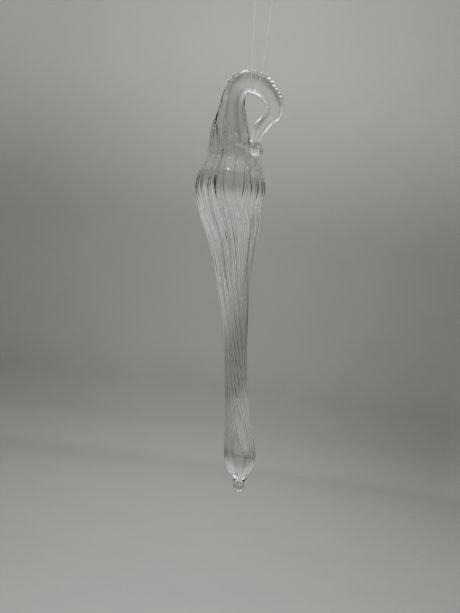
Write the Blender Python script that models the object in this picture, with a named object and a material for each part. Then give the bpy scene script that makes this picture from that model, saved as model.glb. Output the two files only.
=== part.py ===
"""A clear glass icicle ornament on its nylon hanging line.

The icicle is one piece of glass: a fluted, twisted body whose top is drawn out, bent over into a loop and
pressed back onto the shoulder with a round end. The origin is under the crown of the loop, where the line
bears. The glass is modelled in its own upright axes, and an empty leans it until its weight hangs straight
below the line.
"""
import math

import bmesh
import bpy
from mathutils import Vector

MM = 0.001  # the sizes below are in millimetres
TOWARDS_VIEWER = Vector((0, -1, 0))  # the front of the glass faces -Y

HANG_LEAN = math.radians(7.7)  # from the glass's own axes to the plumb line

# The glass from the tip to the end of the loop's tail: centre x, y, z, half width, half depth, how deep the
# flutes are as a share of the radius, how far they have turned in degrees, and the power that squares the
# section off, which is 2 for an ellipse.
STATIONS = (
    (-4.7, 0.0, -141.5, 1.2, 1.1, 0.0, -94, 2.0),
    (-4.75, 0.0, -141.0, 1.75, 1.65, 0.0, -94, 2.0),
    (-4.75, 0.0, -139.6, 1.98, 1.88, 0.01, -94, 2.0),
    (-4.7, 0.0, -138.2, 1.95, 1.86, 0.02, -94, 2.0),
    (-4.45, 0.0, -136.3, 3.05, 2.94, 0.02, -94, 2.0),
    (-4.45, 0.0, -134.1, 4.31, 4.14, 0.03, -94, 2.0),
    (-4.4, 0.0, -131.6, 5.25, 5.01, 0.03, -93, 2.0),
    (-4.35, 0.0, -128.8, 5.63, 5.5, 0.04, -92, 2.0),
    (-4.6, 0.0, -123.8, 5.41, 5.2, 0.06, -89, 2.0),
    (-5.0, 0.0, -116.3, 4.67, 4.61, 0.1, -83, 2.0),
    (-5.6, 0.0, -107.3, 4.02, 3.83, 0.15, -70, 2.0),
    (-5.7, 0.0, -96.6, 4.01, 3.93, 0.17, -49, 2.0),
    (-5.8, 0.0, -85.9, 4.18, 4.03, 0.18, -32, 2.0),
    (-6.2, 0.0, -75.2, 5.11, 4.71, 0.18, -20, 2.0),
    (-6.7, 0.0, -65.5, 6.1, 5.81, 0.22, -13, 2.0),
    (-6.9, 0.0, -55.5, 7.91, 7.07, 0.25, -9, 2.0),
    (-7.12, 0.0, -46.6, 10.15, 8.7, 0.24, -4, 2.0),
    (-7.8, 0.0, -39.8, 11.4, 9.8, 0.18, -1, 2.0),
    (-7.7, 0.0, -34.1, 12.7, 10.6, 0.11, 0, 2.0),
    (-7.35, 0.0, -29.1, 12.06, 10.05, 0.09, 0, 2.0),
    (-6.84, 0.0, -23.4, 10.3, 8.0, 0.08, 0, 2.0),
    (-7.34, 0.0, -18.0, 8.25, 6.66, 0.09, 0, 2.0),
    (-7.54, 0.0, -12.7, 7.18, 5.43, 0.1, 0, 2.0),
    (-7.29, 0.0, -7.3, 5.73, 4.29, 0.06, 0, 2.0),
    (-6.9, 0.0, -3.4, 4.66, 3.53, 0.03, 0, 2.0),
    (-6.3, 0.0, -0.2, 4.2, 3.1, 0.0, 0, 2.3),
    (-4.9, 0.0, 2.4, 3.8, 2.9, 0.0, 0, 2.7),
    (-2.7, 0.0, 3.9, 3.8, 2.9, 0.0, 0, 3.0),
    (-0.2, 0.0, 4.1, 4.0, 2.9, 0.0, 0, 3.0),
    (3.3, 0.0, 2.6, 3.75, 2.9, 0.0, 0, 3.0),
    (5.85, 0.0, 0.15, 3.3, 2.9, 0.0, 0, 3.0),
    (7.5, 0.0, -2.6, 3.1, 2.8, 0.0, 0, 3.0),
    (8.0, -0.1, -5.0, 3.3, 2.7, 0.0, 0, 3.0),
    (7.1, -0.4, -7.5, 3.2, 2.6, 0.0, 0, 2.8),
    (4.9, -1.3, -10.1, 2.5, 2.4, 0.0, 0, 2.6),
    (2.75, -2.6, -12.7, 2.55, 2.3, 0.0, 0, 2.4),
    (1.5, -3.9, -15.4, 2.4, 2.2, 0.0, 0, 2.2),
    (1.2, -4.9, -18.4, 2.0, 1.9, 0.0, 0, 2.0),
)
X, Y, Z, HALF_WIDTH, HALF_DEPTH, FLUTE, TURN, EDGE = range(8)

# Each rib's middle as an angle round the section at the shoulder (0 is the loop's side, 90 the front) and
# the height where it grows out of the smooth neck.
RIBS = (
    (9.9, -22.0), (31.0, -21.8), (52.2, -19.0), (73.4, -14.0), (94.6, -9.7), (115.8, -7.4),
    (136.9, -4.5), (158.1, -6.0), (179.3, -8.0), (200.5, -8.5), (221.7, -7.7), (242.8, -11.0),
    (264.0, -15.0), (285.2, -18.2), (306.4, -20.4), (327.5, -22.0), (348.7, -21.2),
)
RIB_POINT = 8.0  # how much lower a rib's rounded top is at its sides
RIB_LEDGE = 1.8  # the height of the step at a rib's top
RIB_FOOT = -138.6  # where the ribs run out above the nub
RIB_FOOT_RISE = 4.0
RIB_CROWN = 0.3  # the power that makes a rib broad and the valleys between ribs narrow
POINTS_PER_RIB = 3

TEETH = 14  # the ridges that the tool pressed across the outside of the loop
TEETH_START = 143.8  # how far along the glass they begin
TOOTH_PITCH = 1.23  # along the middle of the band; it is wider outside
TOOTH_HEIGHT = 0.8

# How far along the glass a stretch ends, and how far apart the loft's rings are in it.
STRETCHES = ((14.0, 1.55), (92.0, 5.6), (TEETH_START, 3.2))
TAIL_STEP = 1.5

BALL_CENTRE = (1.3, -5.4, -20.2)  # the tail's round end
BALL_RADII = (2.6, 2.6, 2.75)

LINE_DIAMETER = 0.3
LINE_POINTS = 80
# The line from its knot down the front of the loop, under the crown, and up behind it to the knot.
LINE_ROUTE = (
    (4.3, 0.0, 41.0), (2.6, -0.5, 40.3), (1.5, -0.9, 38.2), (1.1, -1.2, 34.0), (0.7, -1.8, 26.0),
    (0.3, -2.6, 17.0), (-0.1, -3.2, 10.0), (-0.3, -3.5, 5.5), (-0.35, -3.35, 2.6), (-0.3, -2.5, 0.5),
    (-0.1, -1.2, -0.35), (0.1, 0.0, -0.5), (0.3, 1.2, -0.35), (0.7, 2.5, 0.55), (1.4, 3.4, 2.6),
    (2.6, 3.6, 5.3), (3.8, 3.2, 8.6), (4.7, 2.5, 15.0), (5.9, 1.8, 24.0), (7.2, 1.2, 34.0),
    (7.2, 0.9, 38.2), (6.1, 0.5, 40.3), (4.4, 0.0, 41.05),
)
KNOT_CENTRE = (4.35, 0.0, 41.1)
KNOT_RADII = (0.85, 0.6, 0.55)

GLASS_COLOUR = (0.97, 0.98, 0.97, 1)
NYLON_COLOUR = (0.9, 0.9, 0.88, 1)


def clear_scene():
    for obj in list(bpy.data.objects):
        bpy.data.objects.remove(obj, do_unlink=True)


def new_collection(name, hidden=False):
    collection = bpy.data.collections.new(name)
    bpy.context.scene.collection.children.link(collection)
    collection.hide_render = hidden
    return collection


def clear_material(name, colour, roughness, ior):
    material = bpy.data.materials.new(name)
    material.use_nodes = True
    shader = material.node_tree.nodes["Principled BSDF"]
    shader.inputs["Base Color"].default_value = colour
    shader.inputs["Metallic"].default_value = 0
    shader.inputs["Roughness"].default_value = roughness
    shader.inputs["IOR"].default_value = ior
    shader.inputs["Transmission Weight"].default_value = 1
    return material


def smooth_rows(rows, per_span):
    """Rows of numbers as a smooth curve through them, spaced by how far apart their places are."""
    places = [Vector(row[:3]) for row in rows]
    along = [0.0]
    for before, after in zip(places, places[1:]):
        along.append(along[-1] + (after - before).length)

    def slope(i, column):
        a, b = max(i - 1, 0), min(i + 1, len(rows) - 1)
        return (rows[b][column] - rows[a][column]) / (along[b] - along[a])

    made = []
    for i in range(len(rows) - 1):
        span = along[i + 1] - along[i]
        for step in range(per_span):
            t = step / per_span
            row = []
            for column in range(len(rows[0])):
                start = rows[i][column]
                end = rows[i + 1][column]
                rise = end - start
                leave = slope(i, column) * span
                arrive = slope(i + 1, column) * span
                curve = (3 * rise - 2 * leave - arrive) * t**2 + (leave + arrive - 2 * rise) * t**3
                row.append(start + leave * t + curve)
            made.append(row)
    made.append(list(rows[-1]))
    return made


def lengths_along(rows):
    along = [0.0]
    for before, after in zip(rows, rows[1:]):
        along.append(along[-1] + (Vector(after[:3]) - Vector(before[:3])).length)
    return along


def row_at(rows, along, place):
    """The row that far along a smooth curve, and the curve's direction there."""
    last = len(rows) - 2
    i = next((k for k in range(last) if along[k + 1] >= place), last)
    share = min(max((place - along[i]) / (along[i + 1] - along[i]), 0.0), 1.0)
    row = [a + (b - a) * share for a, b in zip(rows[i], rows[i + 1])]
    ahead = Vector(rows[min(i + 2, last + 1)][:3]) - Vector(rows[max(i - 1, 0)][:3])
    return row, ahead.normalized()


def ease(share):
    share = min(max(share, 0.0), 1.0)
    return share * share * (3 - 2 * share)


def rib_lift(rib_top, height, across):
    """How far out a rib stands, from 0 in its valley to 1 on its ridge. across is -1 to 1."""
    top = rib_top - RIB_POINT * across * across
    grown = ease((top - height) / RIB_LEDGE) * ease((height - RIB_FOOT) / RIB_FOOT_RISE)
    return grown * max(0.0, math.cos(across * math.pi / 2)) ** RIB_CROWN


def tooth_lift(place, angle):
    """The height of the tool's ridges, on the outside of the loop only."""
    teeth_along = (place - TEETH_START) / TOOTH_PITCH
    if not 0 <= teeth_along <= TEETH:
        return 0.0
    outside = max(0.0, -math.cos(angle)) ** 3
    return TOOTH_HEIGHT * outside * abs(math.sin(math.pi * teeth_along))


def ring(row, ahead, place):
    """The points of one section of the glass, rib by rib."""
    inward = ahead.cross(TOWARDS_VIEWER).normalized()
    front = inward.cross(ahead)
    points = []
    for middle, rib_top in RIBS:
        for k in range(POINTS_PER_RIB):
            across = -math.cos(math.pi * k / POINTS_PER_RIB)
            angle = math.radians(middle + row[TURN] + across * 180 / len(RIBS))
            aside = math.cos(angle)
            ahead_of = math.sin(angle)
            size = 1 - row[FLUTE] * (1 - rib_lift(rib_top, row[Z], across))
            size /= (abs(aside) ** row[EDGE] + abs(ahead_of) ** row[EDGE]) ** (1 / row[EDGE])
            offset = inward * (aside * (row[HALF_WIDTH] * size + tooth_lift(place, angle)))
            offset += front * (ahead_of * row[HALF_DEPTH] * size)
            points.append((Vector(row[:3]) + offset) * MM)
    return points


def evenly(start, end, step):
    count = round((end - start) / step)
    return [start + (end - start) * k / count for k in range(count)]


def ring_places(whole):
    """How far along the glass each ring is: one on each tooth and in each notch, and fewer down the body."""
    places = []
    here = 0.0
    for end, step in STRETCHES:
        places += evenly(here, end, step)
        here = end
    teeth_end = TEETH_START + TEETH * TOOTH_PITCH
    places += evenly(TEETH_START, teeth_end, TOOTH_PITCH / 2)
    places += evenly(teeth_end, whole, TAIL_STEP)
    return places + [whole]


def lofted_glass():
    """The body, loop and tail: a grid of vertices rolled round the spine, ring by ring, and closed."""
    rows = smooth_rows(STATIONS, 12)
    along = lengths_along(rows)
    rings = []
    for place in ring_places(along[-1]):
        row, ahead = row_at(rows, along, place)
        rings.append(ring(row, ahead, place))
    around = len(rings[0])
    bm = bmesh.new()
    bmesh.ops.create_grid(bm, x_segments=around, y_segments=len(rings) - 1, size=1)
    for i, vert in enumerate(list(bm.verts)):
        vert.co = rings[i // (around + 1)][i % (around + 1) % around]
    bmesh.ops.remove_doubles(bm, verts=bm.verts, dist=1e-7)
    bmesh.ops.holes_fill(bm, edges=[e for e in bm.edges if e.is_boundary], sides=around)
    bmesh.ops.recalc_face_normals(bm, faces=bm.faces)
    mesh = bpy.data.meshes.new("glass_icicle")
    bm.to_mesh(mesh)
    bm.free()
    return mesh


def ball(name, centre, radii, segments):
    """A rounded lump that is joined to a piece by a Boolean."""
    bm = bmesh.new()
    bmesh.ops.create_uvsphere(bm, u_segments=segments, v_segments=segments * 2 // 3, radius=MM)
    bmesh.ops.scale(bm, vec=radii, verts=bm.verts)
    bmesh.ops.translate(bm, vec=Vector(centre) * MM, verts=bm.verts)
    mesh = bpy.data.meshes.new(name)
    bm.to_mesh(mesh)
    bm.free()
    return bpy.data.objects.new(name, mesh)


def line_tube():
    """The line as a curve along its smooth route, with round walls and closed ends."""
    rows = smooth_rows(LINE_ROUTE, 12)
    along = lengths_along(rows)
    curve = bpy.data.curves.new("hanging_line", "CURVE")
    curve.dimensions = "3D"
    curve.bevel_depth = LINE_DIAMETER / 2 * MM
    curve.bevel_resolution = 2
    curve.use_fill_caps = True
    spline = curve.splines.new("POLY")
    spline.points.add(LINE_POINTS - 1)
    for k, point in enumerate(spline.points):
        place, _ = row_at(rows, along, along[-1] * k / (LINE_POINTS - 1))
        point.co = (*(Vector(place) * MM), 1)
    return bpy.data.objects.new("hanging_line_route", curve)


def as_mesh(obj, collection, name):
    """A curve object made a mesh with its caps welded on, in its place."""
    collection.objects.link(obj)
    bpy.context.view_layer.update()
    evaluated = obj.evaluated_get(bpy.context.evaluated_depsgraph_get())
    mesh = bpy.data.meshes.new_from_object(evaluated)
    mesh.name = name
    bm = bmesh.new()
    bm.from_mesh(mesh)
    bmesh.ops.remove_doubles(bm, verts=bm.verts, dist=1e-6)
    bmesh.ops.recalc_face_normals(bm, faces=bm.faces)
    bm.to_mesh(mesh)
    bm.free()
    made = bpy.data.objects.new(name, mesh)
    made.matrix_world = obj.matrix_world
    bpy.data.objects.remove(obj, do_unlink=True)
    return made


def join_on(obj, lump):
    """A union that stays on the object as a modifier."""
    union = obj.modifiers.new(lump.name, "BOOLEAN")
    union.operation = "UNION"
    union.solver = "EXACT"
    union.use_self = True
    union.object = lump


def build():
    clear_scene()
    parts = new_collection("glass icicle ornament")
    cutters = new_collection("joined shapes", hidden=True)

    lean = bpy.data.objects.new("hang_lean", None)
    lean.rotation_euler = (0, -HANG_LEAN, 0)
    parts.objects.link(lean)

    glass = bpy.data.objects.new("glass_icicle", lofted_glass())
    glass.data.materials.append(clear_material("clear_glass", GLASS_COLOUR, 0.02, 1.5))
    tail_end = ball("tail_end", BALL_CENTRE, BALL_RADII, 18)

    line = as_mesh(line_tube(), parts, "hanging_line")
    line.data.materials.append(clear_material("clear_nylon", NYLON_COLOUR, 0.2, 1.53))
    knot = ball("knot", KNOT_CENTRE, KNOT_RADII, 12)

    for obj, lump in ((glass, tail_end), (line, knot)):
        parts.objects.link(obj)
        cutters.objects.link(lump)
        lump.display_type = "WIRE"
        for piece in (obj, lump):
            piece.parent = lean
            piece.data.shade_smooth()
        join_on(obj, lump)


build()
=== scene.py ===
"""The glass icicle ornament, dressed and lit: fine drawn glass and its nylon line, in a pale round studio."""
import math

import bmesh
import bpy
from mathutils import Matrix, Vector


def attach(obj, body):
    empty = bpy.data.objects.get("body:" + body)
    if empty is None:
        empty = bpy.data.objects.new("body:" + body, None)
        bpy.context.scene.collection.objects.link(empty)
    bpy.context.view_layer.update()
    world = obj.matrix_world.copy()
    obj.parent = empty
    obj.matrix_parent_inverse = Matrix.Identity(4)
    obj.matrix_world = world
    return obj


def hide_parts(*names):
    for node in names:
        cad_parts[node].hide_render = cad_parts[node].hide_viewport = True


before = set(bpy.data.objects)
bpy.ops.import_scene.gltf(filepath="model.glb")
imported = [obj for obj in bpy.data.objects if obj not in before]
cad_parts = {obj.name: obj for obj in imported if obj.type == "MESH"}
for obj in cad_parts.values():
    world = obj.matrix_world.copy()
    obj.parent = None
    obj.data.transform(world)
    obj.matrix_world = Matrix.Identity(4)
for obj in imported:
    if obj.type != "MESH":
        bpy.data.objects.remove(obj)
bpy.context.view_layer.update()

MM = 0.001  # the sizes below are in millimetres
WHOLE_TURN = 2 * math.pi
HANG_LEAN = math.radians(7.7)  # from the glass's own axes to the plumb line
LEANED = Matrix.Rotation(-HANG_LEAN, 4, "Y")

# The view's size in pixels, and the pixel at which the crown of the loop's eye stands.
VIEW_WIDTH = 460
VIEW_HEIGHT = 613
EYE_PIXEL = (252.0, 94.5)
MM_PER_PIXEL = 0.35714
CAMERA_DISTANCE = 450.0
SENSOR = 36.0
NEAREST_SEEN = 10.0

# The glass from the tip to the end of the loop's tail: centre x, y, z, half width, half depth, how deep the
# flutes are as a share of the radius, how far they have turned in degrees, and the power that squares the
# section off, which is 2 for an ellipse.
STATIONS = (
    (-4.7, 0.0, -141.5, 1.2, 1.1, 0.0, -94, 2.0),
    (-4.75, 0.0, -141.0, 1.75, 1.65, 0.0, -94, 2.0),
    (-4.75, 0.0, -139.6, 1.98, 1.88, 0.01, -94, 2.0),
    (-4.7, 0.0, -138.2, 1.95, 1.86, 0.02, -94, 2.0),
    (-4.45, 0.0, -136.3, 3.05, 2.94, 0.02, -94, 2.0),
    (-4.45, 0.0, -134.1, 4.31, 4.14, 0.03, -94, 2.0),
    (-4.4, 0.0, -131.6, 5.25, 5.01, 0.03, -93, 2.0),
    (-4.35, 0.0, -128.8, 5.63, 5.5, 0.04, -92, 2.0),
    (-4.6, 0.0, -123.8, 5.41, 5.2, 0.06, -89, 2.0),
    (-5.0, 0.0, -116.3, 4.67, 4.61, 0.1, -83, 2.0),
    (-5.6, 0.0, -107.3, 4.02, 3.83, 0.15, -70, 2.0),
    (-5.7, 0.0, -96.6, 4.01, 3.93, 0.17, -49, 2.0),
    (-5.8, 0.0, -85.9, 4.18, 4.03, 0.18, -32, 2.0),
    (-6.2, 0.0, -75.2, 5.11, 4.71, 0.18, -20, 2.0),
    (-6.7, 0.0, -65.5, 6.1, 5.81, 0.22, -13, 2.0),
    (-6.9, 0.0, -55.5, 7.91, 7.07, 0.25, -9, 2.0),
    (-7.12, 0.0, -46.6, 10.15, 8.7, 0.24, -4, 2.0),
    (-7.8, 0.0, -39.8, 11.4, 9.8, 0.18, -1, 2.0),
    (-7.7, 0.0, -34.1, 12.7, 10.6, 0.11, 0, 2.0),
    (-7.35, 0.0, -29.1, 12.06, 10.05, 0.09, 0, 2.0),
    (-6.84, 0.0, -23.4, 10.3, 8.0, 0.08, 0, 2.0),
    (-7.34, 0.0, -18.0, 8.25, 6.66, 0.09, 0, 2.0),
    (-7.54, 0.0, -12.7, 7.18, 5.43, 0.1, 0, 2.0),
    (-7.29, 0.0, -7.3, 5.73, 4.29, 0.06, 0, 2.0),
    (-6.9, 0.0, -3.4, 4.66, 3.53, 0.03, 0, 2.0),
    (-6.3, 0.0, -0.2, 4.2, 3.1, 0.0, 0, 2.3),
    (-4.9, 0.0, 2.4, 3.8, 2.9, 0.0, 0, 2.7),
    (-2.7, 0.0, 3.9, 3.8, 2.9, 0.0, 0, 3.0),
    (-0.2, 0.0, 4.1, 4.0, 2.9, 0.0, 0, 3.0),
    (3.3, 0.0, 2.6, 3.75, 2.9, 0.0, 0, 3.0),
    (5.85, 0.0, 0.15, 3.3, 2.9, 0.0, 0, 3.0),
    (7.5, 0.0, -2.6, 3.1, 2.8, 0.0, 0, 3.0),
    (8.0, -0.1, -5.0, 3.3, 2.7, 0.0, 0, 3.0),
    (7.1, -0.4, -7.5, 3.2, 2.6, 0.0, 0, 2.8),
    (4.9, -1.3, -10.1, 2.5, 2.4, 0.0, 0, 2.6),
    (2.75, -2.6, -12.7, 2.55, 2.3, 0.0, 0, 2.4),
    (1.5, -3.9, -15.4, 2.4, 2.2, 0.0, 0, 2.2),
    (1.2, -4.9, -18.4, 2.0, 1.9, 0.0, 0, 2.0),
)
X, Y, Z, HALF_WIDTH, HALF_DEPTH, FLUTE, TURN, EDGE = range(8)
STEPS_PER_STATION = 24

# Each rib's middle as an angle round the section at the shoulder (0 is the loop's side, 90 the front) and
# the height where it grows out of the smooth neck.
RIBS = (
    (9.9, -22.0), (31.0, -21.8), (52.2, -19.0), (73.4, -14.0), (94.6, -9.7), (115.8, -7.4),
    (136.9, -4.5), (158.1, -6.0), (179.3, -8.0), (200.5, -8.5), (221.7, -7.7), (242.8, -11.0),
    (264.0, -15.0), (285.2, -18.2), (306.4, -20.4), (327.5, -22.0), (348.7, -21.2),
)
RIB_POINT = 8.0  # how much lower a rib's rounded top is at its sides
RIB_LEDGE = 1.8  # the height of the step at a rib's top
RIB_FOOT = -138.6  # where the ribs run out above the nub
RIB_FOOT_RISE = 4.0
RIB_CROWN = 0.3  # the power that makes a rib broad and the valleys between ribs narrow
POINTS_PER_RIB = 12

TEETH = 14  # the ridges that the tool pressed across the outside of the loop
TEETH_START = 143.8  # how far along the glass they begin
TOOTH_PITCH = 1.23  # along the middle of the band; it is wider outside
TOOTH_HEIGHT = 0.8
TOOTH_FADE = 3  # the power by which a ridge dies away round the band
RINGS_PER_TOOTH = 8
BODY_STEP = 0.55  # from ring to ring below the teeth
TAIL_STEP = 0.5

BALL_CENTRE = (1.3, -5.4, -20.2)  # the tail's round end
BALL_RADII = (2.6, 2.6, 2.75)
BALL_SEGMENTS = 48
TOWARDS_VIEWER = Vector((0, -1, 0))  # the front of the glass faces -Y
SHARP_FOLD = math.radians(40)  # the bottom of a groove is this sharp or sharper
SAME_POINT = 1e-7  # in metres: points as close as this are one

LINE_DIAMETER = 0.3
LINE_POINTS = 160
LINE_STEPS_PER_POINT = 12
LINE_ROUNDING = 4  # gives the line 12 sides
# The line from its knot down the front of the loop, under the crown, and up behind it to the knot.
LINE_ROUTE = (
    (4.3, 0.0, 41.0), (2.6, -0.5, 40.3), (1.5, -0.9, 38.2), (1.1, -1.2, 34.0), (0.7, -1.8, 26.0),
    (0.3, -2.6, 17.0), (-0.1, -3.2, 10.0), (-0.3, -3.5, 5.5), (-0.35, -3.35, 2.6), (-0.3, -2.5, 0.5),
    (-0.1, -1.2, -0.35), (0.1, 0.0, -0.5), (0.3, 1.2, -0.35), (0.7, 2.5, 0.55), (1.4, 3.4, 2.6),
    (2.6, 3.6, 5.3), (3.8, 3.2, 8.6), (4.7, 2.5, 15.0), (5.9, 1.8, 24.0), (7.2, 1.2, 34.0),
    (7.2, 0.9, 38.2), (6.1, 0.5, 40.3), (4.4, 0.0, 41.05),
)
KNOT_CENTRE = (4.35, 0.0, 41.1)
KNOT_TURNS = 4
KNOT_STEPS_PER_TURN = 26
KNOT_SIDES = 12
KNOT_COIL_RADIUS = 0.4
KNOT_LENGTH = 1.3


# --- the view -----------------------------------------------------------------------------------------

def aim_camera():
    """A level camera, rolled by the lean, so that the glass stands upright in the view."""
    camera = bpy.data.objects.new("picture_camera", bpy.data.cameras.new("picture_camera"))
    bpy.context.scene.collection.objects.link(camera)
    camera.data.sensor_width = SENSOR
    camera.data.lens = SENSOR * CAMERA_DISTANCE / (VIEW_HEIGHT * MM_PER_PIXEL)
    camera.data.clip_start = NEAREST_SEEN * MM
    camera.data.dof.use_dof = False
    across = (VIEW_WIDTH / 2 - EYE_PIXEL[0]) * MM_PER_PIXEL
    down = (VIEW_HEIGHT / 2 - EYE_PIXEL[1]) * MM_PER_PIXEL
    middle = LEANED @ Vector((across, 0, -down))
    back = Matrix.Translation((middle + Vector((0, -CAMERA_DISTANCE, 0))) * MM)
    camera.matrix_world = back @ LEANED @ Matrix.Rotation(math.pi / 2, 4, "X")
    bpy.context.scene.camera = camera


# --- smooth rows --------------------------------------------------------------------------------------

def smooth_rows(rows, per_span):
    """Rows of numbers as a smooth curve through them, spaced by how far apart their places are."""
    places = [Vector(row[:3]) for row in rows]
    along = [0.0]
    for before, after in zip(places, places[1:]):
        along.append(along[-1] + (after - before).length)

    def slope(i, column):
        a, b = max(i - 1, 0), min(i + 1, len(rows) - 1)
        return (rows[b][column] - rows[a][column]) / (along[b] - along[a])

    made = []
    for i in range(len(rows) - 1):
        span = along[i + 1] - along[i]
        for step in range(per_span):
            t = step / per_span
            row = []
            for column in range(len(rows[0])):
                start = rows[i][column]
                end = rows[i + 1][column]
                rise = end - start
                leave = slope(i, column) * span
                arrive = slope(i + 1, column) * span
                curve = (3 * rise - 2 * leave - arrive) * t**2 + (leave + arrive - 2 * rise) * t**3
                row.append(start + leave * t + curve)
            made.append(row)
    made.append(list(rows[-1]))
    return made


def lengths_along(rows):
    """How far along the curve each row is."""
    along = [0.0]
    for before, after in zip(rows, rows[1:]):
        along.append(along[-1] + (Vector(after[:3]) - Vector(before[:3])).length)
    return along


def row_at(rows, along, place):
    """The row that far along a smooth curve, and the curve's direction there."""
    last = len(rows) - 2
    i = next((k for k in range(last) if along[k + 1] >= place), last)
    share = min(max((place - along[i]) / (along[i + 1] - along[i]), 0.0), 1.0)
    row = [a + (b - a) * share for a, b in zip(rows[i], rows[i + 1])]
    ahead = Vector(rows[min(i + 2, last + 1)][:3]) - Vector(rows[max(i - 1, 0)][:3])
    return row, ahead.normalized()


def ease(share):
    """A share from 0 to 1 that starts and stops gently."""
    share = min(max(share, 0.0), 1.0)
    return share * share * (3 - 2 * share)


# --- the glass ----------------------------------------------------------------------------------------

def rib_lift(rib_top, height, across):
    """How far out a rib stands, from 0 in its valley to 1 on its ridge. across is -1 to 1."""
    top = rib_top - RIB_POINT * across * across
    grown = ease((top - height) / RIB_LEDGE) * ease((height - RIB_FOOT) / RIB_FOOT_RISE)
    return grown * max(0.0, math.cos(across * math.pi / 2)) ** RIB_CROWN


def tooth_lift(place, angle):
    """The height of the tool's ridges, on the outside of the loop only."""
    teeth_along = (place - TEETH_START) / TOOTH_PITCH
    if not 0 <= teeth_along <= TEETH:
        return 0.0
    outside = max(0.0, -math.cos(angle)) ** TOOTH_FADE
    return TOOTH_HEIGHT * outside * abs(math.sin(math.pi * teeth_along))


def ring(row, ahead, place):
    """The points of one section of the glass, rib by rib."""
    inward = ahead.cross(TOWARDS_VIEWER).normalized()
    front = inward.cross(ahead)
    points = []
    for middle, rib_top in RIBS:
        for k in range(POINTS_PER_RIB):
            across = -math.cos(math.pi * k / POINTS_PER_RIB)
            angle = math.radians(middle + row[TURN] + across * 180 / len(RIBS))
            aside = math.cos(angle)
            forward = math.sin(angle)
            size = 1 - row[FLUTE] * (1 - rib_lift(rib_top, row[Z], across))
            size /= (abs(aside) ** row[EDGE] + abs(forward) ** row[EDGE]) ** (1 / row[EDGE])
            offset = inward * (aside * (row[HALF_WIDTH] * size + tooth_lift(place, angle)))
            offset += front * (forward * row[HALF_DEPTH] * size)
            points.append(LEANED @ (Vector(row[:3]) + offset) * MM)
    return points


def evenly(start, end, step):
    """Places from start up to but not at end, as near to a step apart as fits."""
    count = round((end - start) / step)
    return [start + (end - start) * k / count for k in range(count)]


def ring_places(whole):
    """How far along the glass each ring is, closest together over the teeth."""
    teeth_end = TEETH_START + TEETH * TOOTH_PITCH
    places = evenly(0.0, TEETH_START, BODY_STEP)
    places += evenly(TEETH_START, teeth_end, TOOTH_PITCH / RINGS_PER_TOOTH)
    places += evenly(teeth_end, whole, TAIL_STEP)
    return places + [whole]


def draw_glass():
    """The body, loop and tail: a grid rolled round the spine, ring by ring, and closed at both ends."""
    rows = smooth_rows(STATIONS, STEPS_PER_STATION)
    along = lengths_along(rows)
    rings = []
    for place in ring_places(along[-1]):
        row, ahead = row_at(rows, along, place)
        rings.append(ring(row, ahead, place))
    around = len(rings[0])
    bm = bmesh.new()
    bmesh.ops.create_grid(bm, x_segments=around, y_segments=len(rings) - 1, size=1)
    for i, vert in enumerate(list(bm.verts)):
        vert.co = rings[i // (around + 1)][i % (around + 1) % around]
    bmesh.ops.remove_doubles(bm, verts=bm.verts, dist=SAME_POINT)
    bmesh.ops.holes_fill(bm, edges=[e for e in bm.edges if e.is_boundary], sides=around)
    bmesh.ops.recalc_face_normals(bm, faces=bm.faces)
    return as_object(bm, "drawn_glass")


def as_object(bm, name):
    """The finished mesh as a smooth object with its folds sharp."""
    mesh = bpy.data.meshes.new(name)
    bm.to_mesh(mesh)
    bm.free()
    mesh.shade_smooth()
    mesh.set_sharp_from_angle(angle=SHARP_FOLD)
    obj = bpy.data.objects.new(name, mesh)
    bpy.context.scene.collection.objects.link(obj)
    return obj


def round_lump(name, centre, radii, segments):
    """An egg of glass."""
    bm = bmesh.new()
    bmesh.ops.create_uvsphere(bm, u_segments=segments, v_segments=segments * 2 // 3, radius=MM)
    bmesh.ops.scale(bm, vec=radii, verts=bm.verts)
    bmesh.ops.translate(bm, vec=Vector(centre) * MM, verts=bm.verts)
    bmesh.ops.transform(bm, matrix=LEANED, verts=bm.verts)
    return as_object(bm, name)


def melt_together(glass, lump):
    """A union that also melts the loop's tail into the shoulder it presses on."""
    union = glass.modifiers.new("melted_end", "BOOLEAN")
    union.operation = "UNION"
    union.solver = "EXACT"
    union.use_self = True
    union.object = lump
    bpy.context.view_layer.update()
    finished = glass.evaluated_get(bpy.context.evaluated_depsgraph_get())
    melted = bpy.data.meshes.new_from_object(finished)
    glass.modifiers.clear()
    glass.data = melted
    bpy.data.objects.remove(lump, do_unlink=True)


# --- the line -----------------------------------------------------------------------------------------

def draw_line():
    """The nylon along its route, and its length."""
    rows = smooth_rows(LINE_ROUTE, LINE_STEPS_PER_POINT)
    along = lengths_along(rows)
    curve = bpy.data.curves.new("nylon_line", "CURVE")
    curve.dimensions = "3D"
    curve.bevel_depth = LINE_DIAMETER / 2 * MM
    curve.bevel_resolution = LINE_ROUNDING
    curve.use_fill_caps = True
    spline = curve.splines.new("POLY")
    spline.points.add(LINE_POINTS - 1)
    for k, point in enumerate(spline.points):
        place, _ = row_at(rows, along, along[-1] * k / (LINE_POINTS - 1))
        point.co = (*(LEANED @ Vector(place) * MM), 1)
    line = bpy.data.objects.new("nylon_line", curve)
    bpy.context.scene.collection.objects.link(line)
    return line, along[-1]


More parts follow.
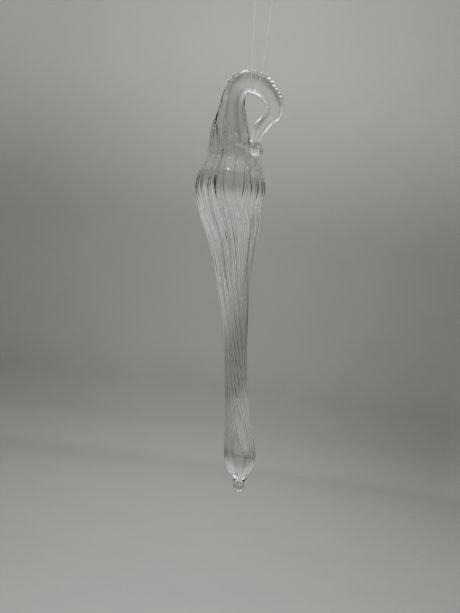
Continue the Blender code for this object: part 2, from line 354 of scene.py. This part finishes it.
def wind_knot():
    """The coils of the knot, wound side by side round both strands."""
    steps = KNOT_STEPS_PER_TURN * KNOT_TURNS
    quarter_turn = Matrix.Rotation(math.pi / 2, 3, "X")
    bm = bmesh.new()
    bmesh.ops.create_circle(bm, segments=KNOT_SIDES, radius=LINE_DIAMETER / 2 * MM)
    bmesh.ops.rotate(bm, verts=bm.verts, cent=(0, 0, 0), matrix=quarter_turn)
    start = Vector((-KNOT_LENGTH / 2, 0, KNOT_COIL_RADIUS)) * MM
    bmesh.ops.translate(bm, vec=start, verts=bm.verts)
    bmesh.ops.spin(bm, geom=bm.verts[:] + bm.edges[:], cent=(0, 0, 0), axis=(1, 0, 0),
                   angle=WHOLE_TURN * KNOT_TURNS, steps=steps, dvec=(KNOT_LENGTH / steps * MM, 0, 0))
    bmesh.ops.holes_fill(bm, edges=[e for e in bm.edges if e.is_boundary])
    bmesh.ops.translate(bm, vec=Vector(KNOT_CENTRE) * MM, verts=bm.verts)
    bmesh.ops.transform(bm, matrix=LEANED, verts=bm.verts)
    bmesh.ops.recalc_face_normals(bm, faces=bm.faces)
    return as_object(bm, "knot")


# --- finishes -----------------------------------------------------------------------------------------

MOST_OF_NOISE = (0.3, 0.7)  # nearly all of a noise lies between these
STREAK_STRETCH = (1.0, 1.0, 0.03)  # the streaks are long and thin, down the glass and the line
STREAK_DETAIL = 2
GLASS_COLOUR = (0.98, 0.985, 0.98, 1)
GLASS_IOR = 1.5
GLASS_STREAKS_PER_METRE = 1300
GLASS_STREAK_DEPTH = 0.012
GLASS_ROUGH_STREAKS = (0.4, 0.8)
GLASS_ROUGHNESS = (0.0, 0.004)
NYLON_COLOUR = (0.97, 0.97, 0.95, 1)
NYLON_IOR = 1.53
NYLON_STREAKS_PER_METRE = 9000
NYLON_STREAK_DEPTH = 0.02
NYLON_ROUGHNESS = (0.22, 0.38)
CRINKLES_PER_METRE = 900
CRINKLE_DETAIL = 1
CRINKLE_DEPTH = 0.5
# Where the tool pinched the hot glass, and how far the crinkles reach.
CRINKLE_PLACES = (((4.8, -1.6, -4.6), 3.6), ((-13.5, -6.5, -31.5), 3.2))

# The backdrop's tone, and the painted light and shade that change it across the room: the ends of each change
# in metres, and its gain.
PAINTED_SHADE_AT_FRONT = 0.22  # painted shade at the front, behind the camera
PAPER_PALE = 0.42
PAPER_FRONT_TO_BACK = (-1.15, 0.0)
# painted shade: darker everywhere nearer than the back wall, fading out towards it
PAINTED_NEAR_SHADE_SHARE = 0.66
FLOOR_TO_WALL = (0.3, 1.1)
# painted light: the floor is painted paler, fading up the cove
PAINTED_FLOOR_LIGHT_GAIN = 1.24
FLOOR_TO_COVE = (-0.268, -0.225)
# painted shade: darker low in the cove
PAINTED_COVE_SHADE_SHARE = 0.88
COVE_TO_WALL = (-0.225, -0.12)
# painted light: paler high up on the wall
PAINTED_TOP_LIGHT_GAIN = 1.88
PAPER_RISE = (0.0, 0.26)
# painted shade: darker towards both sides
PAINTED_SIDE_SHADE_GAIN = 0.68
PAPER_SPREAD = (0.0, 0.33)
# The wings are the walls on both sides, just outside the view, that show in the flutes; they are painted
# paler, as painted light.
PAINTED_WING_LIGHT_GAINS = (1.35, 1.75)  # low down, and high up
PAPER_WING_RISE = (-0.16, 0.04)
PAPER_WINGS = (0.305, 0.4)
PAPER_OFF_CENTRE = 0.025
PAPER_TINT = (1.0, 1.0, 0.95)
PAPER_MOTTLE = (0.985, 1.015)
PAPER_MOTTLE_PER_METRE = 14
PAPER_MOTTLE_DETAIL = 4
FIBRES_PER_METRE = 900
FIBRE_DETAIL = 3
FIBRE_DEPTH = 0.1
CLOTH_TONES = (0.009, 0.015)
WEAVE_PER_METRE = 1200
WEAVE_DETAIL = 2
MATT_ROUGHNESS = 0.9
MATT_SHINE = 0.1


def new_finish(name):
    """A plain material, its shader, its nodes, its links, and where on the object a point is."""
    material = bpy.data.materials.new(name)
    material.use_nodes = True
    nodes, links = material.node_tree.nodes, material.node_tree.links
    place = nodes.new("ShaderNodeTexCoord").outputs["Object"]
    return material, nodes["Principled BSDF"], nodes, links, place


def ramped(nodes, links, source, span, at_ends, smooth=True):
    """A value that goes from one end to the other while the source crosses the span."""
    ramp = nodes.new("ShaderNodeMapRange")
    ramp.interpolation_type = "SMOOTHSTEP" if smooth else "LINEAR"
    names = ("From Min", "From Max", "To Min", "To Max")
    for name, value in zip(names, (*span, *at_ends)):
        ramp.inputs[name].default_value = value
    links.new(source, ramp.inputs["Value"])
    return ramp.outputs["Result"]


def reckon(nodes, links, operation, first, second=0.0):
    """One step of arithmetic on a socket and a number or another socket."""
    step = nodes.new("ShaderNodeMath")
    step.operation = operation
    for socket, value in zip(step.inputs, (first, second)):
        if isinstance(value, (int, float)):
            socket.default_value = value
        else:
            links.new(value, socket)
    return step.outputs[0]


def mottle(nodes, links, place, per_metre, detail):
    """Soft blotches, as a value about a half."""
    noise = nodes.new("ShaderNodeTexNoise")
    noise.inputs["Scale"].default_value = per_metre
    noise.inputs["Detail"].default_value = detail
    links.new(place, noise.inputs["Vector"])
    return noise.outputs["Fac"]


def raise_surface(nodes, links, shader, height, depth):
    """The height as a bump, that many millimetres deep."""
    bump = nodes.new("ShaderNodeBump")
    bump.inputs["Distance"].default_value = depth * MM
    links.new(height, bump.inputs["Height"])
    links.new(bump.outputs["Normal"], shader.inputs["Normal"])


def drawn_streaks():
    """The long faint streaks that drawing leaves in hot glass or nylon, as a height from 0 to 1."""
    group = bpy.data.node_groups.new("drawn_streaks", "ShaderNodeTree")
    group.interface.new_socket("Place", in_out="INPUT", socket_type="NodeSocketVector")
    group.interface.new_socket("Per metre", in_out="INPUT", socket_type="NodeSocketFloat")
    group.interface.new_socket("Height", in_out="OUTPUT", socket_type="NodeSocketFloat")
    nodes, links = group.nodes, group.links
    entry = nodes.new("NodeGroupInput")
    leave = nodes.new("NodeGroupOutput")
    stretch = nodes.new("ShaderNodeVectorMath")
    stretch.operation = "MULTIPLY"
    stretch.inputs[1].default_value = STREAK_STRETCH
    links.new(entry.outputs["Place"], stretch.inputs[0])
    streaks = nodes.new("ShaderNodeTexNoise")
    streaks.inputs["Detail"].default_value = STREAK_DETAIL
    links.new(stretch.outputs[0], streaks.inputs["Vector"])
    links.new(entry.outputs["Per metre"], streaks.inputs["Scale"])
    links.new(streaks.outputs["Fac"], leave.inputs["Height"])
    return group


def add_streaks(nodes, links, place, streaks, per_metre):
    """The streaks placed in one material, as a height."""
    use = nodes.new("ShaderNodeGroup")
    use.node_tree = streaks
    use.inputs["Per metre"].default_value = per_metre
    links.new(place, use.inputs["Place"])
    return use.outputs["Height"]


def crinkles(nodes, links, place):
    """Crinkled glass close to the places where the tool pinched it, as a height."""
    near = 0.0
    for centre, reach in CRINKLE_PLACES:
        away = nodes.new("ShaderNodeVectorMath")
        away.operation = "DISTANCE"
        away.inputs[1].default_value = LEANED @ Vector(centre) * MM
        links.new(place, away.inputs[0])
        share = ramped(nodes, links, away.outputs["Value"], (0.0, reach * MM), (1.0, 0.0))
        near = reckon(nodes, links, "ADD", share, near)
    crinkled = mottle(nodes, links, place, CRINKLES_PER_METRE, CRINKLE_DETAIL)
    return reckon(nodes, links, "MULTIPLY", crinkled, near)


def glass_finish(streaks):
    """Clear glass, with faint streaks down it and a few crinkles."""
    material, shader, nodes, links, place = new_finish("drawn_clear_glass")
    shader.inputs["Base Color"].default_value = GLASS_COLOUR
    shader.inputs["IOR"].default_value = GLASS_IOR
    shader.inputs["Transmission Weight"].default_value = 1
    height = add_streaks(nodes, links, place, streaks, GLASS_STREAKS_PER_METRE)
    rough = ramped(nodes, links, height, GLASS_ROUGH_STREAKS, GLASS_ROUGHNESS)
    links.new(rough, shader.inputs["Roughness"])
    pinched = reckon(nodes, links, "MULTIPLY", crinkles(nodes, links, place), CRINKLE_DEPTH)
    streaked = reckon(nodes, links, "MULTIPLY", height, GLASS_STREAK_DEPTH)
    raise_surface(nodes, links, shader, reckon(nodes, links, "ADD", streaked, pinched), 1.0)
    return material


def nylon_finish(streaks):
    """Clear nylon, a little cloudy, with fine streaks along it."""
    material, shader, nodes, links, place = new_finish("nylon")
    shader.inputs["Base Color"].default_value = NYLON_COLOUR
    shader.inputs["IOR"].default_value = NYLON_IOR
    shader.inputs["Transmission Weight"].default_value = 1
    height = add_streaks(nodes, links, place, streaks, NYLON_STREAKS_PER_METRE)
    rough = ramped(nodes, links, height, MOST_OF_NOISE, NYLON_ROUGHNESS)
    links.new(rough, shader.inputs["Roughness"])
    raise_surface(nodes, links, shader, height, NYLON_STREAK_DEPTH)
    return material


def cloth_finish():
    """Black woven cloth."""
    material, shader, nodes, links, place = new_finish("dark_cloth")
    shader.inputs["Roughness"].default_value = MATT_ROUGHNESS
    shader.inputs["Specular IOR Level"].default_value = MATT_SHINE
    weave = mottle(nodes, links, place, WEAVE_PER_METRE, WEAVE_DETAIL)
    links.new(ramped(nodes, links, weave, MOST_OF_NOISE, CLOTH_TONES), shader.inputs["Base Color"])
    return material


def paper_with_painted_light():
    """Grey paper with a faint mottle, and painted light and shade: painted darker behind the camera, nearer
    than the back wall, low in the cove and towards the sides, and painted paler on the floor, high up and on
    the side walls.
    """
    material, shader, nodes, links, place = new_finish("backdrop_paper_painted_light")
    shader.inputs["Roughness"].default_value = MATT_ROUGHNESS
    shader.inputs["Specular IOR Level"].default_value = MATT_SHINE
    parts = nodes.new("ShaderNodeSeparateXYZ")
    links.new(place, parts.inputs[0])
    across, back, up = parts.outputs
    aside = reckon(nodes, links, "ABSOLUTE", across)
    # painted light on the side walls, for the flutes to show
    from_middle = reckon(nodes, links, "ADD", across, PAPER_OFF_CENTRE)
    beyond = reckon(nodes, links, "ABSOLUTE", from_middle)
    wing = ramped(nodes, links, up, PAPER_WING_RISE, [gain - 1 for gain in PAINTED_WING_LIGHT_GAINS])
    sideways = ramped(nodes, links, beyond, PAPER_WINGS, (0.0, 1.0))
    winged = reckon(nodes, links, "MULTIPLY", wing, sideways)
    tone = reckon(nodes, links, "ADD", winged, 1.0)
    blotches = mottle(nodes, links, place, PAPER_MOTTLE_PER_METRE, PAPER_MOTTLE_DETAIL)
    # Every ramp here but the mottle is painted light or shade.
    for source, span, at_ends, smooth in (
        (back, PAPER_FRONT_TO_BACK, (PAINTED_SHADE_AT_FRONT, PAPER_PALE), True),
        (back, FLOOR_TO_WALL, (PAINTED_NEAR_SHADE_SHARE, 1.0), True),
        (up, FLOOR_TO_COVE, (PAINTED_FLOOR_LIGHT_GAIN, 1.0), False),
        (up, COVE_TO_WALL, (PAINTED_COVE_SHADE_SHARE, 1.0), True),
        (up, PAPER_RISE, (1.0, PAINTED_TOP_LIGHT_GAIN), True),
        (aside, PAPER_SPREAD, (1.0, PAINTED_SIDE_SHADE_GAIN), True),
        (blotches, MOST_OF_NOISE, PAPER_MOTTLE, True),
    ):
        gain = ramped(nodes, links, source, span, at_ends, smooth)
        tone = reckon(nodes, links, "MULTIPLY", tone, gain)
    tint = nodes.new("ShaderNodeVectorMath")
    tint.operation = "SCALE"
    tint.inputs[0].default_value = PAPER_TINT
    links.new(tone, tint.inputs["Scale"])
    links.new(tint.outputs[0], shader.inputs["Base Color"])
    fibres = mottle(nodes, links, place, FIBRES_PER_METRE, FIBRE_DETAIL)
    raise_surface(nodes, links, shader, fibres, FIBRE_DEPTH)
    return material


# --- the studio ---------------------------------------------------------------------------------------

FLOOR_HEIGHT = -268.0
WALL_RADIUS = 1150.0
COVE_RADIUS = 90.0
WALL_TOP = 420.0
WALL_STEPS = 96
COVE_STEPS = 12
SEAM = 1e-6  # in metres: a sheet's points as close as this are one
CURTAIN_RADIUS = 800.0
CURTAIN_HEIGHTS = (-330.0, 110.0)
CURTAIN_HALF_SWEEP = math.radians(85)
CURTAIN_STEPS = 48

# A lamp's name, place, width and height, and power in watts.
OVERHEAD = ("overhead_softbox", (50, 0, 620), (480, 480), 9)
WINDOWS = (
    ("back_strip", (135, 900, 700), (390, 70), 22),
    ("far_left_strip", (-550, 900, 700), (300, 70), 12),
    ("high_window", (-300, -700, 640), (60, 60), 3),
)
LAMPS_AIM_AT = (0, 0, -70)
ROOM_COLOUR = (1, 1, 0.98, 1)
ROOM_STRENGTH = 0.65


def cove_profile():
    """The backdrop's section as radius and height: floor, quarter-round and upright wall."""
    points = [(0.0, FLOOR_HEIGHT)]
    for k in range(COVE_STEPS + 1):
        turn = math.pi / 2 * k / COVE_STEPS
        radius = WALL_RADIUS - COVE_RADIUS * (1 - math.sin(turn))
        points.append((radius, FLOOR_HEIGHT + COVE_RADIUS * (1 - math.cos(turn))))
    return points + [(WALL_RADIUS, WALL_TOP)]


def swept_sheet(name, profile, sweep, steps):
    """A sheet made by turning a profile of (radius, height) about the plumb line, centred on the front."""
    bm = bmesh.new()
    verts = [bm.verts.new((0, -r * MM, z * MM)) for r, z in profile]
    edges = [bm.edges.new(pair) for pair in zip(verts, verts[1:])]
    start = Matrix.Rotation(-sweep / 2, 3, "Z")
    bmesh.ops.rotate(bm, verts=verts, cent=(0, 0, 0), matrix=start)
    bmesh.ops.spin(bm, geom=verts + edges, cent=(0, 0, 0), axis=(0, 0, 1), angle=sweep,
                   steps=steps, use_merge=sweep == WHOLE_TURN)
    bmesh.ops.remove_doubles(bm, verts=bm.verts, dist=SEAM)
    bmesh.ops.recalc_face_normals(bm, faces=bm.faces)
    return as_object(bm, name)


def build_backdrop():
    """The floor and the wall as one sheet of paper, all the way round."""
    backdrop = swept_sheet("round_backdrop", cove_profile(), WHOLE_TURN, WALL_STEPS)
    backdrop.data.materials.append(paper_with_painted_light())


def hang_curtain():
    """A dark curtain round the front, for the glass to reflect. The camera looks through it."""
    profile = [(CURTAIN_RADIUS, height) for height in CURTAIN_HEIGHTS]
    curtain = swept_sheet("dark_curtain", profile, 2 * CURTAIN_HALF_SWEEP, CURTAIN_STEPS)
    curtain.data.materials.append(cloth_finish())
    curtain.visible_camera = False
    curtain.visible_diffuse = False
    curtain.visible_shadow = False


def hang_lamp(name, place, size, power):
    """A rectangular lamp that shines towards the glass."""
    lamp = bpy.data.objects.new(name, bpy.data.lights.new(name, "AREA"))
    lamp.data.shape = "RECTANGLE"
    lamp.data.size = size[0] * MM
    lamp.data.size_y = size[1] * MM
    lamp.data.energy = power
    lamp.location = Vector(place) * MM
    towards = Vector(LAMPS_AIM_AT) - Vector(place)
    lamp.rotation_euler = towards.to_track_quat("-Z", "Y").to_euler()
    bpy.context.scene.collection.objects.link(lamp)
    return lamp


def light_room():
    """The lamps, and the faint light that fills the room."""
    overhead = hang_lamp(*OVERHEAD)
    overhead.visible_transmission = False
    overhead.visible_glossy = False
    for window in WINDOWS:
        hang_lamp(*window).visible_diffuse = False
    world = bpy.data.worlds.new("room_light")
    world.use_nodes = True
    background = world.node_tree.nodes["Background"]
    background.inputs["Color"].default_value = ROOM_COLOUR
    background.inputs["Strength"].default_value = ROOM_STRENGTH
    bpy.context.scene.world = world


# --- put together -------------------------------------------------------------------------------------

aim_camera()
line, line_length = draw_line()
glass = draw_glass()
glass.name = "fluted_glass"
melt_together(glass, round_lump("tail_end", BALL_CENTRE, BALL_RADII, BALL_SEGMENTS))
glass.data.materials.clear()
knot = wind_knot()
streaks = drawn_streaks()
glass.data.materials.append(glass_finish(streaks))
nylon = nylon_finish(streaks)
line.data.materials.append(nylon)
knot.data.materials.append(nylon)

for piece, node, slot in (
    (glass, "glass_icicle", "clear_glass"),
    (line, "hanging_line", "clear_nylon"),
    (knot, "hanging_line", "clear_nylon"),
):
    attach(piece, "root")
    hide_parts(node)

build_backdrop()
hang_curtain()
light_room()
